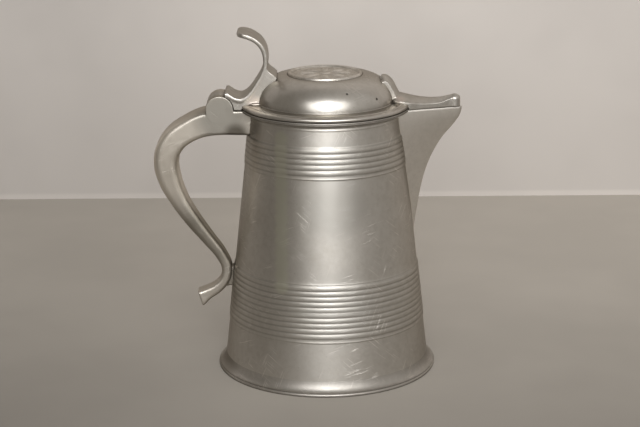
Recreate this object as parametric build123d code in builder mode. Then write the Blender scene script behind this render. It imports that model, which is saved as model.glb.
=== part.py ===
from build123d import *
from math import sqrt
import os

# A pewter jug with a hinged lid and a covered pouring beak, in millimetres.
# The table is the plane Z = 0 and the origin lies on the axis of the round body.
# The beak points along +X, the handle along -X, and the hinge pin lies along Y.

os.makedirs("parts", exist_ok=True)

# Body wall: a cone, measured on its outside from the table up to the mouth
table_wall_radius = 75.4
mouth_wall_radius = 53.9
mouth_height = 193.7
wall = 2.2
wall_bottom = 3.0

# Bands of reeds turned on the wall, each reed a low ridge, each band over a plain land
reed_pitch = 3.8
reed_rise = 0.55
band_proud = 0.4
band_edge = 0.5
band_land = 2.8
upper_band_drop = 40.9
upper_band_bottom = mouth_height - upper_band_drop
upper_reeds = 5
lower_band_bottom = 37.3
lower_reeds = 10

# Scribed bead below the lip
neck_bead_drop = 6.5
neck_bead_height = mouth_height - neck_bead_drop
neck_bead_width = 1.0
neck_bead_rise = 0.4

# Foot: a flared ring with a rolled edge, soldered round the wall
foot_reach = 4.6
foot_radius = table_wall_radius + foot_reach
foot_height = 15.0
foot_bead_height = 3.2
foot_bead_bulge = 0.9
foot_groove = 0.6
foot_feather = 0.35

# Bottom: a crowned disc with a turned-down rim, soldered inside the wall
plate_height = 8.0
plate_thickness = 2.2
plate_crown = 2.5
plate_rim_depth = 3.5

# Lip: a ring round the mouth with an undercut below its edge
lip_reach = 6.9
lip_radius = mouth_wall_radius + lip_reach
lip_edge_height = 2.1
lip_height = 5.0
lip_feather = 0.3
lip_cove = 1.0

# Solder joint between castings, and the gap that the closed lid keeps from the body
solder = 0.03
lid_gap = 0.3

# Beak: a hollow trough of V section. Each station is a drop below the mouth with the reach
# of the keel beyond the mouth's radius and the half width where the sides meet the wall.
beak_stations = [
    (1.1, 44.5, 16.6),
    (7.2, 43.1, 16.3),
    (14.2, 38.4, 15.7),
    (23.7, 30.4, 14.5),
    (35.2, 23.7, 12.6),
    (48.7, 18.3, 9.8),
    (63.7, 14.7, 6.5),
    (75.7, 12.7, 4.0),
    (84.7, 11.3, 2.4),
    (90.7, 10.4, 1.2),
]
beak_keel = 2.2
beak_wall = 1.9
beak_cavity_keel = 0.9
beak_cavity_setback = 3.0
beak_cavity_drop = 69.7
beak_embed = 9.0

# Hinge: a barrel across the top of the handle, with one knuckle of the lid in its slot
hinge_reach = 21.6
hinge_x = -mouth_wall_radius - hinge_reach
hinge_drop = 0.2
hinge_z = mouth_height - hinge_drop
barrel_radius = 10.0
barrel_width = 28.0
knuckle_width = 9.0
knuckle_side_gap = 0.2
barrel_gap = 0.35
pin_radius = 2.5
pin_clearance = 0.05

# Handle: stations along its middle line, from inside the wall to the end of the tail. Each
# is a place measured from the hinge, with the depth in the plane of the handle, how much
# narrower it is than the barrel, and its corner radius.
handle_stations = [
    (26.5, -9.6, 18.6, 0.0, 2.0),
    (13.5, -9.4, 18.2, 0.0, 2.0),
    (0.0, -9.7, 17.4, 0.0, 2.2),
    (-11.5, -11.0, 17.6, 0.2, 2.6),
    (-23.3, -15.9, 16.8, 0.8, 3.2),
    (-32.5, -22.5, 17.4, 1.6, 4.0),
    (-38.3, -31.7, 17.8, 2.6, 4.6),
    (-39.7, -42.0, 17.2, 3.8, 4.8),
    (-37.4, -53.5, 15.8, 5.8, 4.8),
    (-30.9, -68.6, 12.8, 8.8, 4.4),
    (-20.3, -85.3, 10.8, 11.6, 3.8),
    (-9.9, -99.1, 9.0, 13.4, 3.2),
    (-1.7, -110.1, 8.0, 14.6, 2.8),
    (2.6, -120.3, 7.6, 15.0, 2.6),
    (1.1, -128.9, 7.3, 15.0, 2.5),
    (-5.4, -136.2, 7.8, 14.8, 2.5),
    (-12.1, -140.1, 8.8, 14.4, 2.5),
    (-17.3, -143.4, 11.6, 13.4, 2.0),
]
handle_line = [(hinge_x + x, hinge_z + z) for x, z, depth, taper, corner in handle_stations]
handle_drop = 0.6
handle_top = mouth_height - handle_drop
handle_start_direction = (-1.0, 0.0)
handle_end_direction = (-0.958, -0.287)

# Pad soldered between the lower bend of the handle and the wall
pad_drop = 135.0
pad_bottom = hinge_z - pad_drop
pad_height = 17.0
pad_width = 9.0
pad_reach = 9.0

# Lid: a dome on a flat flange, with a shallow rim that sits inside the mouth. The shoulder
# and the crown of the dome are measured from its foot on the flange.
lid_bottom = mouth_height + lid_gap
flange_overhang = 0.2
flange_radius = lip_radius + flange_overhang
flange_thickness = 3.5
flange_top = lid_bottom + flange_thickness
flange_edge = 1.0
dome_inset = 4.7
dome_radius = mouth_wall_radius - dome_inset
shoulder_inset = 8.6
shoulder_rise = 15.7
dome_shoulder = (dome_radius - shoulder_inset, flange_top + shoulder_rise)
crown_inset = 21.6
crown_rise = 19.5
dome_crown = (dome_radius - crown_inset, flange_top + crown_rise)
lid_wall = 1.9
rim_clearance = 0.7
rim_thickness = 2.0
rim_depth = 2.8

# Medallion let into the top of the dome: a raised ring round a rosette
medallion_margin = 0.6
medallion_radius = dome_crown[0] - medallion_margin
medallion_seat_depth = 0.6
medallion_seat = dome_crown[1] - medallion_seat_depth
medallion_ring_width = 3.0
medallion_ring_rise = 2.2
medallion_field = 1.1
rosette_petals = 8
rosette_radius = 12.5
petal_length = 12.0
petal_width = 5.0
petal_rise = 0.7
rosette_boss_radius = 3.6

# Beak cover: a crowned plate over the beak, with a tongue up the side of the dome. Each
# station of the plate is a reach beyond the mouth's radius with the half width, and the
# heights of edge and ridge over the mouth. The nose is measured in the same way, and the
# tongue from the foot of the dome.
cover_stations = [
    (-3.9, 11.2, 5.7, 10.7),
    (4.1, 14.7, 4.6, 7.9),
    (13.1, 11.8, 3.3, 5.8),
    (23.1, 8.6, 2.7, 5.4),
    (30.1, 6.4, 3.2, 5.9),
    (36.1, 4.6, 5.2, 7.3),
    (43.1, 3.6, 6.5, 8.1),
]
cover_nose_stations = [(37.1, 7.9), (40.5, 7.2), (42.3, 5.2), (42.7, 2.5), (42.0, -0.8)]
cover_nose_line = [(mouth_wall_radius + x, mouth_height + z) for x, z in cover_nose_stations]
cover_nose_radius = 3.6
tongue_stations = [(-8.9, 18.5), (-4.8, 18.1), (-1.4, 15.5), (1.7, 10.3), (5.0, 3.5)]
tongue_line = [(dome_radius + x, flange_top + z) for x, z in tongue_stations]
tongue_half_width = 10.8

# Thumbpiece: stations along the middle of its strap, from the tip of the leaf over the
# hinge, through the scoop and up the stem to the end of the hook. Each is a place measured
# from the hinge, with the depth and how much wider it is than the barrel.
thumb_stations = [
    (4.0, 12.2, 3.7, 1.0),
    (7.5, 9.7, 3.4, 1.2),
    (11.3, 7.6, 3.4, 1.4),
    (15.3, 6.9, 3.4, 1.6),
    (19.3, 8.5, 3.4, 1.6),
    (23.3, 12.4, 3.4, 1.4),
    (27.3, 18.2, 3.4, 1.2),
    (31.0, 24.4, 3.4, 1.0),
    (33.0, 30.1, 3.4, 1.0),
    (33.4, 36.1, 3.4, 1.2),
    (32.4, 41.8, 3.4, 1.6),
    (29.4, 47.1, 3.4, 2.4),
    (24.8, 50.9, 3.4, 3.0),
    (19.5, 53.1, 3.3, 3.0),
    (15.3, 53.8, 3.0, -1.0),
    (13.3, 53.9, 2.6, -9.0),
]
thumb_line = [(hinge_x + x, hinge_z + z) for x, z, depth, spread in thumb_stations]
thumb_corner = 1.2
thumb_corner_share = 0.48
thumb_start_direction = (0.87, -0.49)
thumb_end_direction = (-1.0, 0.0)

# Web between the strap and the dome: its half width, and its outline behind the stem,
# from the station where it leaves the strap down to its foot on the dome
web_spread = 0.4
web_half_width = barrel_width / 2 + web_spread
web_top_station = 9
web_back_stations = [(34.6, 33.0), (35.7, 29.7), (37.5, 26.9), (40.5, 23.5)]
web_back_line = [(hinge_x + x, hinge_z + z) for x, z in web_back_stations]
web_foot_reach = 30.5
web_foot_x = hinge_x + web_foot_reach
web_knuckle_reach = 4.0


def wall_radius(z):
    """Outside radius of the plain wall at height z."""
    return table_wall_radius - (table_wall_radius - mouth_wall_radius) * z / mouth_height


def on_wall(z, proud=0.0):
    """Point of the profile at height z, proud of the plain wall."""
    return (wall_radius(z) + proud, z)


def draw_band(bottom, reeds, proud):
    """Draw one band upwards from its lower edge and return the height of its upper edge."""
    land_top = bottom + band_land
    land_proud = band_proud + proud
    Line(on_wall(bottom, proud), on_wall(bottom + band_edge, land_proud))
    Line(on_wall(bottom + band_edge, land_proud), on_wall(land_top, land_proud))
    for n in range(reeds):
        foot = land_top + n * reed_pitch
        crest = on_wall(foot + reed_pitch / 2, land_proud + reed_rise)
        Polyline(on_wall(foot, land_proud), crest, on_wall(foot + reed_pitch, land_proud))
    top = land_top + reeds * reed_pitch
    Line(on_wall(top, land_proud), on_wall(top + band_edge, proud))
    return top + band_edge


def draw_wall(proud=0.0):
    """Draw the outside of the wall from its lower edge to the mouth, with bands and bead."""
    bead_bottom = neck_bead_height - neck_bead_width / 2
    bead_top = neck_bead_height + neck_bead_width / 2
    Line(on_wall(wall_bottom, proud), on_wall(lower_band_bottom, proud))
    lower_band_top = draw_band(lower_band_bottom, lower_reeds, proud)
    Line(on_wall(lower_band_top, proud), on_wall(upper_band_bottom, proud))
    upper_band_top = draw_band(upper_band_bottom, upper_reeds, proud)
    Line(on_wall(upper_band_top, proud), on_wall(bead_bottom, proud))
    Line(on_wall(bead_bottom, proud), on_wall(neck_bead_height, neck_bead_rise + proud))
    Line(on_wall(neck_bead_height, neck_bead_rise + proud), on_wall(bead_top, proud))
    Line(on_wall(bead_top, proud), on_wall(mouth_height, proud))


# Body wall
with BuildPart() as body_wall:
    with BuildSketch(Plane.YZ):
        with BuildLine():
            draw_wall()
            Polyline(
                on_wall(mouth_height),
                on_wall(mouth_height, -wall),
                on_wall(wall_bottom, -wall),
                on_wall(wall_bottom),
            )
        make_face()
    revolve(axis=Axis.Z)

# Foot ring: it laps the outside of the wall and closes under its lower edge
foot_inner_radius = wall_radius(wall_bottom) - wall
wall_slope = (table_wall_radius - mouth_wall_radius) / mouth_height
foot_neck = on_wall(foot_height, foot_feather)
foot_shoulder = (foot_radius - foot_bead_bulge, foot_bead_height + foot_groove)

with BuildPart() as foot_ring:
    with BuildSketch(Plane.YZ):
        with BuildLine():
            Polyline(
                on_wall(foot_height, solder),
                on_wall(wall_bottom - solder, solder),
                (foot_inner_radius, wall_bottom - solder),
                (foot_inner_radius, 0),
                (foot_radius - foot_bead_bulge, 0),
            )
            ThreePointArc(
                (foot_radius - foot_bead_bulge, 0),
                (foot_radius, foot_bead_height / 2),
                (foot_radius - foot_bead_bulge, foot_bead_height),
            )
            Line((foot_radius - foot_bead_bulge, foot_bead_height), foot_shoulder)
            TangentArc(foot_neck, foot_shoulder, tangent=(wall_slope, -1))
            Line(foot_neck, on_wall(foot_height, solder))
        make_face()
    revolve(axis=Axis.Z)

foot_ring.part.label = "foot_ring"
export_step(foot_ring.part, "parts/foot_ring.step")

# Bottom plate
plate_rim_bottom = plate_height - plate_rim_depth
plate_edge = -wall - solder

with BuildPart() as bottom_plate:
    with BuildSketch(Plane.YZ):
        with BuildLine():
            Polyline(
                (0, plate_height + plate_crown - plate_thickness),
                (0, plate_height + plate_crown),
            )
            TangentArc(
                (0, plate_height + plate_crown),
                on_wall(plate_height, plate_edge),
                tangent=(1, 0),
            )
            Polyline(
                on_wall(plate_height, plate_edge),
                on_wall(plate_rim_bottom, plate_edge),
                on_wall(plate_rim_bottom, plate_edge - plate_thickness),
                on_wall(plate_height - plate_thickness, plate_edge - plate_thickness),
            )
            TangentArc(
                (0, plate_height + plate_crown - plate_thickness),
                on_wall(plate_height - plate_thickness, plate_edge - plate_thickness),
                tangent=(1, 0),
            )
        make_face()
    revolve(axis=Axis.Z)

bottom_plate.part.label = "bottom_plate"
export_step(bottom_plate.part, "parts/bottom_plate.step")


def draw_beak_section(reach, half_width, height, keel):
    """Draw the V section of the beak at one height, from inside the wall out to the keel."""
    root = sqrt(wall_radius(height) ** 2 - half_width**2)
    nose = min(keel, 0.5 * half_width)
    Polyline(
        (reach - nose, -nose),
        (root, -half_width),
        (root - beak_embed, -half_width),
        (root - beak_embed, half_width),
        (root, half_width),
        (reach - nose, nose),
    )
    ThreePointArc((reach - nose, nose), (reach, 0), (reach - nose, -nose))


beak_sections = [
    (mouth_height - drop, mouth_wall_radius + reach, half_width)
    for drop, reach, half_width in beak_stations
]

# Outer form of the beak, which also trims the lip ring
with BuildPart() as beak_form:
    for height, reach, half_width in beak_sections:
        with BuildSketch(Plane.XY.offset(height)):
            with BuildLine():
                draw_beak_section(reach, half_width, height, beak_keel)
            make_face()
    loft(ruled=True)

# Channel of the beak, which also cuts the pouring opening through the wall
with BuildPart() as beak_channel:
    for height, reach, half_width in beak_sections:
        if height >= mouth_height - beak_cavity_drop:
            with BuildSketch(Plane.XY.offset(height)):
                with BuildLine():
                    draw_beak_section(
                        reach - beak_cavity_setback,
                        half_width - beak_wall,
                        height,
                        beak_cavity_keel,
                    )
                make_face()
    loft(ruled=True)
    extrude(beak_channel.faces().sort_by(Axis.Z)[-1], amount=lip_height)

# Solid filled by the wall, its solder and everything inside it
with BuildPart() as body_core:
    with BuildSketch(Plane.YZ):
        with BuildLine():
            draw_wall(solder)
            Polyline(
                on_wall(mouth_height, solder),
                (0, mouth_height),
                (0, wall_bottom),
                on_wall(wall_bottom, solder),
            )
        make_face()
    revolve(axis=Axis.Z)

with BuildPart() as spout:
    add(beak_form.part)
    add(body_core.part, mode=Mode.SUBTRACT)
    add(beak_channel.part, mode=Mode.SUBTRACT)

spout.part.label = "spout"
export_step(spout.part, "parts/spout.step")

with body_wall:
    add(beak_channel.part, mode=Mode.SUBTRACT)

body_wall.part.label = "body_wall"
export_step(body_wall.part, "parts/body_wall.step")

# Lip ring, cut away where the beak stands
lip_bottom = mouth_height - lip_height
lip_undercut = mouth_height - lip_edge_height

with BuildPart() as lip_ring:
    with BuildSketch(Plane.YZ):
        with BuildLine():
            Polyline(
                on_wall(lip_bottom, solder),
                on_wall(mouth_height, solder),
                (lip_radius - lip_edge_height / 3, mouth_height),
            )
            ThreePointArc(
                (lip_radius - lip_edge_height / 3, mouth_height),
                (lip_radius, mouth_height - lip_edge_height / 2),
                (lip_radius - lip_edge_height / 3, lip_undercut),
            )
            SagittaArc(
                (lip_radius - lip_edge_height / 3, lip_undercut),
                on_wall(lip_bottom, lip_feather),
                -lip_cove,
            )
            Line(on_wall(lip_bottom, lip_feather), on_wall(lip_bottom, solder))
        make_face()
    revolve(axis=Axis.Z)
    beak_top, beak_reach, beak_half_width = beak_sections[0]
    with BuildSketch(Plane.XY.offset(lip_bottom)):
        with BuildLine():
            draw_beak_section(beak_reach + solder, beak_half_width + solder, beak_top, beak_keel)
        make_face()
    extrude(amount=lip_height, mode=Mode.SUBTRACT)

lip_ring.part.label = "lip_ring"
export_step(lip_ring.part, "parts/lip_ring.step")


def section_plane(line, n, first_direction, last_direction):
    """Plane across a middle line in XZ at point n, square to the line of its neighbours."""
    before, after = line[max(n - 1, 0)], line[min(n + 1, len(line) - 1)]
    dx, dz = after[0] - before[0], after[1] - before[1]
    if n == 0:
        dx, dz = first_direction
    if n == len(line) - 1:
        dx, dz = last_direction
    return Plane(origin=(line[n][0], 0, line[n][1]), x_dir=(0, 1, 0), z_dir=(dx, 0, dz))


hinge_plane = Plane(origin=(hinge_x, 0, hinge_z), x_dir=(1, 0, 0), z_dir=(0, -1, 0))

with BuildPart() as handle:
    for n, (x, z, depth, taper, corner) in enumerate(handle_stations):
        across = section_plane(handle_line, n, handle_start_direction, handle_end_direction)
        with BuildSketch(across):
            RectangleRounded(barrel_width - taper, depth, corner)
    loft(ruled=True)
    with BuildSketch(Plane.XY.offset(handle_top)):
        with Locations((hinge_x / 2, 0)):
            Rectangle(-hinge_x, 2 * barrel_width)
    extrude(amount=barrel_radius, mode=Mode.SUBTRACT)
    with BuildSketch(hinge_plane):
        Circle(barrel_radius)
    extrude(amount=barrel_width / 2, both=True)
    with BuildSketch(hinge_plane):
        Circle(barrel_radius + barrel_gap)
    extrude(amount=knuckle_width / 2 + knuckle_side_gap, both=True, mode=Mode.SUBTRACT)
    with BuildSketch(hinge_plane):
        Circle(pin_radius)
    extrude(amount=barrel_width, both=True, mode=Mode.SUBTRACT)
    add(body_core.part, mode=Mode.SUBTRACT)
    add(lip_ring.part, mode=Mode.SUBTRACT)

handle.part.label = "handle"
export_step(handle.part, "parts/handle.step")

# Hinge pin, held in both ears of the barrel
with BuildPart() as hinge_pin:
    with BuildSketch(hinge_plane):
        Circle(pin_radius)
    extrude(amount=barrel_width / 2, both=True)

hinge_pin.part.label = "hinge_pin"
export_step(hinge_pin.part, "parts/hinge_pin.step")

# Handle pad
pad_middle = pad_bottom + pad_height / 2
with BuildPart() as handle_pad:
    with BuildSketch(Plane.XY.offset(pad_bottom)):
        with Locations((-wall_radius(pad_middle), 0)):
            Rectangle(pad_reach, pad_width)
    extrude(amount=pad_height)
    add(body_core.part, mode=Mode.SUBTRACT)
    add(handle.part, mode=Mode.SUBTRACT)

handle_pad.part.label = "handle_pad"
export_step(handle_pad.part, "parts/handle_pad.step")

# Lid shell
rim_radius = mouth_wall_radius - wall - rim_clearance


def arc_normal(start, normal, end):
    """Normal at the end of the arc that leaves the start square to the given normal."""
    dx, dz = end[0] - start[0], end[1] - start[1]
    radius = -(dx**2 + dz**2) / (2 * (dx * normal[0] + dz * normal[1]))
    return (dx / radius + normal[0], dz / radius + normal[1])


def draw_dome(inset):
    """Draw the dome's profile upwards as two tangent arcs, inset from its outside, and
    return its two ends."""
    foot = (dome_radius, flange_top)
    foot_normal = (1, 0)
    shoulder_normal = arc_normal(foot, foot_normal, dome_shoulder)
    crown_normal = arc_normal(dome_shoulder, shoulder_normal, dome_crown)
    ends = [
        (point[0] - inset * normal[0], point[1] - inset * normal[1])
        for point, normal in (
            (foot, foot_normal),
            (dome_shoulder, shoulder_normal),
            (dome_crown, crown_normal),
        )
    ]
    TangentArc(ends[0], ends[1], tangent=(0, 1))
    TangentArc(ends[1], ends[2], tangent=(-shoulder_normal[1], shoulder_normal[0]))
    return ends[0], ends[2]


with BuildPart() as lid_shell:
    with BuildSketch(Plane.YZ):
        with BuildLine():
            outside_foot, outside_crown = draw_dome(0)
            inside_foot, inside_crown = draw_dome(lid_wall)
            Polyline(
                inside_crown,
                (0, medallion_seat - lid_wall),
                (0, medallion_seat),
                (medallion_radius + solder, medallion_seat),
                outside_crown,
            )
            Polyline(
                outside_foot,
                (flange_radius - flange_edge, flange_top),
                (flange_radius, flange_top - flange_edge),
                (flange_radius, lid_bottom + flange_edge),
                (flange_radius - flange_edge, lid_bottom),
                (rim_radius, lid_bottom),
                (rim_radius, lid_bottom - rim_depth),
                (rim_radius - rim_thickness, lid_bottom - rim_depth),
                (rim_radius - rim_thickness, lid_bottom),
                (dome_radius - lid_wall, lid_bottom),
                inside_foot,
            )
        make_face()
    revolve(axis=Axis.Z)

lid_shell.part.label = "lid_shell"
export_step(lid_shell.part, "parts/lid_shell.step")

# Medallion
medallion_face = medallion_seat + medallion_field
with BuildPart() as lid_medallion:
    with BuildSketch(Plane.XZ):
        with BuildLine():
            Polyline(
                (medallion_radius - medallion_ring_width, medallion_face),
                (0, medallion_face),
                (0, medallion_seat),
                (medallion_radius, medallion_seat),
                (medallion_radius, medallion_face),
            )
            ThreePointArc(
                (medallion_radius, medallion_face),
                (medallion_radius - medallion_ring_width / 2, medallion_seat + medallion_ring_rise),
                (medallion_radius - medallion_ring_width, medallion_face),
            )
        make_face()
    revolve(axis=Axis.Z)
    with BuildSketch(Plane.XY.offset(medallion_face)):
        with PolarLocations(rosette_radius, rosette_petals):
            Ellipse(petal_length / 2, petal_width / 2)
        Circle(rosette_boss_radius)
    extrude(amount=petal_rise)

lid_medallion.part.label = "lid_medallion"
export_step(lid_medallion.part, "parts/lid_medallion.step")

# Solid filled by the closed lid, its solder and the space below its flange
with BuildPart() as lid_core:
    with BuildSketch(Plane.YZ):
        with BuildLine():
            skin_foot, skin_crown = draw_dome(-solder)
            Polyline(
                skin_foot,
                (skin_foot[0], flange_top + solder),
                (flange_radius - flange_edge, flange_top + solder),
                (flange_radius + solder, flange_top - flange_edge),
                (flange_radius + solder, lip_bottom),
                (0, lip_bottom),
                (0, skin_crown[1]),
                skin_crown,
            )
        make_face()
    revolve(axis=Axis.Z)

# Beak cover
cover_bottom = beak_top + lid_gap
nose_x = max(x for x, z in cover_nose_line)
nose_centre_x = nose_x - cover_nose_radius
tongue_end = tongue_line[0]
tongue_foot = tongue_line[-1]

with BuildPart() as beak_cover:
    for reach, half_width, edge_rise, ridge_rise in cover_stations:
        edge = mouth_height + edge_rise
        with BuildSketch(Plane.YZ.offset(mouth_wall_radius + reach)):
            with BuildLine():
                Polyline(
                    (half_width, edge),
                    (half_width, cover_bottom),
                    (-half_width, cover_bottom),
                    (-half_width, edge),
                )
                ThreePointArc(
                    (-half_width, edge),
                    (0, mouth_height + ridge_rise),
                    (half_width, edge),
                )
            make_face()
    loft()
    with BuildSketch(Plane.XY.offset(cover_bottom)):
        with Locations((nose_centre_x, 0)):
            Circle(cover_nose_radius)
        with Locations((nose_centre_x / 2, 0)):
            Rectangle(nose_centre_x, 2 * flange_radius)
    extrude(amount=barrel_width, mode=Mode.INTERSECT)
    with BuildSketch(Plane.XZ):
        with BuildLine():
            Spline(*cover_nose_line)
            Polyline(
                cover_nose_line[-1],
                (tongue_end[0], cover_bottom),
                tongue_end,
                cover_nose_line[0],
            )
        make_face()
    extrude(amount=flange_radius, both=True, mode=Mode.INTERSECT)
    with BuildSketch(Plane.XZ):
        with BuildLine():
            Spline(*tongue_line)
            Polyline(tongue_foot, (tongue_foot[0], flange_top), (tongue_end[0], flange_top), tongue_end)
        make_face()
    extrude(amount=tongue_half_width, both=True)
    add(lid_core.part, mode=Mode.SUBTRACT)

beak_cover.part.label = "beak_cover"
export_step(beak_cover.part, "parts/beak_cover.step")

# Thumbpiece, one casting with the leaf and the knuckle of the hinge
leaf_bottom = handle_top + lid_gap

with BuildPart() as thumbpiece:
    for n, (x, z, depth, spread) in enumerate(thumb_stations):
        across = section_plane(thumb_line, n, thumb_start_direction, thumb_end_direction)
        with BuildSketch(across):
            corner = min(thumb_corner, thumb_corner_share * depth)
            RectangleRounded(barrel_width + spread, depth, corner)
    loft(ruled=True)
    with BuildSketch(Plane.XZ):
        with BuildLine():
            Polyline(
                *thumb_line[: web_top_station + 1],
                *web_back_line,
                (web_foot_x, leaf_bottom),
                (hinge_x + web_knuckle_reach, leaf_bottom),
                (hinge_x + web_knuckle_reach, hinge_z + barrel_radius),
                thumb_line[0],
            )
        make_face()
    extrude(amount=web_half_width, both=True)
    add(lid_core.part, mode=Mode.SUBTRACT)
    for side in (-1, 1):
        with BuildSketch(hinge_plane.offset(side * knuckle_width / 2)):
            Circle(barrel_radius + barrel_gap)
        extrude(amount=side * barrel_width, mode=Mode.SUBTRACT)
    with BuildSketch(hinge_plane):
        Circle(barrel_radius)
    extrude(amount=knuckle_width / 2, both=True)
    with BuildSketch(hinge_plane):
        Circle(pin_radius + pin_clearance)
    extrude(amount=knuckle_width, both=True, mode=Mode.SUBTRACT)

thumbpiece.part.label = "thumbpiece"
export_step(thumbpiece.part, "parts/thumbpiece.step")
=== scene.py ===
import math

import bmesh
import bpy
import numpy as np
from mathutils import Matrix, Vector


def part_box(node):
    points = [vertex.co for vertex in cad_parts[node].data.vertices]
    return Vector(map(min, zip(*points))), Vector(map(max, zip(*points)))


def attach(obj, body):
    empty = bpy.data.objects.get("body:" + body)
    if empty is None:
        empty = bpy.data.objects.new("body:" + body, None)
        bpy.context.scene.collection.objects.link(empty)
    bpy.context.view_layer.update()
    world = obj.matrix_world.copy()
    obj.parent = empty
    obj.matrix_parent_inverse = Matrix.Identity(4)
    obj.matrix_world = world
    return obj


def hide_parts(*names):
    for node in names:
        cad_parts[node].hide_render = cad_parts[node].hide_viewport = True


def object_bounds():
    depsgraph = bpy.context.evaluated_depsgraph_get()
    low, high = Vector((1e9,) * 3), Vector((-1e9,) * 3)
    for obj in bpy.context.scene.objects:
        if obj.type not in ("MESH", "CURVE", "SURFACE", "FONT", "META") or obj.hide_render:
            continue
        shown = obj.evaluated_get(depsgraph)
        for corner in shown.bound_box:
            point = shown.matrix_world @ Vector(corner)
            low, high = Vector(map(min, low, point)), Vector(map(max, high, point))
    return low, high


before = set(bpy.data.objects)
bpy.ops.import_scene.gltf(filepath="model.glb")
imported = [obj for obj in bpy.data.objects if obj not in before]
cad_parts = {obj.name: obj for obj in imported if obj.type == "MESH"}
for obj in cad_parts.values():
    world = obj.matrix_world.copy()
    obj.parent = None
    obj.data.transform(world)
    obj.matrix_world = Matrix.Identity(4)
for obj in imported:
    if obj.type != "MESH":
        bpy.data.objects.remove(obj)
cad_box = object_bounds()

# The looks of the pewter jug. Sizes are in millimetres, as a maker would write them, and
# make_mesh turns them into metres. The stage, the lights and the camera are in metres.
MM = 0.001


def corners(node):
    """Lowest and highest corner of a construction node, in millimetres."""
    low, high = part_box(node)
    return np.array(low) / MM, np.array(high) / MM


# Heights and radii that are read from the construction
wall_low, wall_high = corners("body_wall")
lip_low, lip_high = corners("lip_ring")
lid_low, lid_high = corners("lid_shell")
medallion_low, medallion_high = corners("lid_medallion")
spout_low, spout_high = corners("spout")
pin_low, pin_high = corners("hinge_pin")
pad_low, pad_high = corners("handle_pad")
foot_radius = corners("foot_ring")[1][1]
plate_bottom = corners("bottom_plate")[0][2]
cover_bottom = corners("beak_cover")[0][2]
mouth_height = wall_high[2]
lip_radius = lip_high[1]
flange_radius = lid_high[1]
hinge_x = (pin_low[0] + pin_high[0]) / 2
hinge_z = (pin_low[2] + pin_high[2]) / 2
barrel_half_width = pin_high[1]

# Cone of the wall
wall_low_radius = wall_high[1]
mouth_radius = 53.9
wall_thickness = 2.2
wall_slope = (wall_low_radius - mouth_radius) / (mouth_height - wall_low[2])

# Reeded bands, and the sharper ridges that divide them
reed_pitch = 3.8
reed_rise = 0.30
band_proud = 0.4
band_edge = 0.5
band_land = 2.8
upper_band = (152.8, 5)
lower_band = (37.3, 10)
ridge_heights = (174.9, 153.2, 79.0, 58.9, 37.7)
ridge_rise = 0.16
ridge_width = 0.45
neck_bead_height = 187.2

# Dome of the lid: its foot, shoulder and crown as (radius, height)
lid_wall = 1.9
flange_top = 197.5
lid_bottom = 194.0
dome_foot = (49.2, flange_top)
dome_shoulder = (40.6, 213.2)
dome_crown = (27.6, 217.0)
medallion_seat = medallion_low[2]
rim_outer_radius = 51.0
rim_inner_radius = 49.0
rim_bottom = lid_low[2]

# Beak: stations of height, reach and half width
beak_stations = [
    (192.6, 98.4, 16.6),
    (186.5, 97.0, 16.3),
    (179.5, 92.3, 15.7),
    (170.0, 84.3, 14.5),
    (158.5, 77.6, 12.6),
    (145.0, 72.2, 9.8),
    (130.0, 68.6, 6.5),
    (118.0, 66.6, 4.0),
    (109.0, 65.2, 2.4),
    (103.0, 64.3, 1.2),
]
beak_wall = 1.9
beak_setback = 3.0
channel_bottom = 130.0

# Hinge
barrel_radius = 10.0
barrel_gap = 0.25
knuckle_half_width = 4.5
knuckle_gap = 0.2
handle_top = 193.1

# Handle: stations of x, z, depth, width and corner radius along its middle line
handle_stations = [
    (-49.0, 183.9, 18.4, 28.0, 1.6),
    (-62.0, 184.1, 18.0, 28.0, 1.6),
    (-75.5, 183.8, 17.4, 28.0, 2.0),
    (-87.0, 182.5, 17.6, 27.8, 2.6),
    (-98.8, 177.6, 16.8, 27.2, 3.2),
    (-108.0, 171.0, 17.4, 26.4, 4.0),
    (-113.8, 161.8, 17.8, 25.4, 4.6),
    (-115.2, 151.5, 17.2, 24.2, 4.8),
    (-112.9, 140.0, 15.8, 22.2, 4.8),
    (-106.4, 124.9, 12.8, 19.2, 4.4),
    (-95.8, 108.2, 10.8, 16.4, 3.8),
    (-85.4, 94.4, 9.0, 14.6, 3.2),
    (-77.2, 83.4, 8.0, 13.4, 2.8),
    (-72.9, 73.2, 7.6, 13.0, 2.6),
    (-74.4, 64.6, 7.3, 13.0, 2.5),
    (-80.9, 57.3, 7.8, 13.2, 2.5),
    (-87.6, 53.4, 8.8, 13.6, 2.2),
    (-92.8, 50.1, 11.6, 14.6, 1.6),
]

# Thumbpiece: stations of x, z, depth and width, from the leaf up to the end of the hook
thumb_stations = [
    (-71.5, 205.7, 3.7, 29.0),
    (-68.0, 203.2, 3.4, 29.2),
    (-64.2, 201.1, 3.4, 29.4),
    (-60.2, 200.4, 3.4, 29.6),
    (-56.2, 202.0, 3.4, 29.6),
    (-52.2, 205.9, 3.4, 29.4),
    (-48.2, 211.7, 3.4, 29.2),
    (-44.5, 217.9, 3.4, 29.0),
    (-42.5, 223.6, 3.4, 29.0),
    (-42.1, 229.6, 3.4, 29.2),
    (-43.1, 235.3, 3.4, 29.6),
    (-46.1, 240.6, 3.4, 30.4),
    (-50.7, 244.4, 3.4, 31.0),
    (-56.0, 246.6, 3.4, 31.0),
    (-59.4, 247.2, 3.3, 28.6),
    (-61.6, 247.4, 3.0, 22.5),
    (-62.5, 247.4, 2.8, 16.0),
]
leaf_and_stem = 10
web_half_width = 14.4
web_back = [(-41.8, 226.0), (-41.4, 223.3), (-39.6, 221.0), (-36.2, 218.4), (-34.2, 216.4)]
web_foot_x = -44.0

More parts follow.
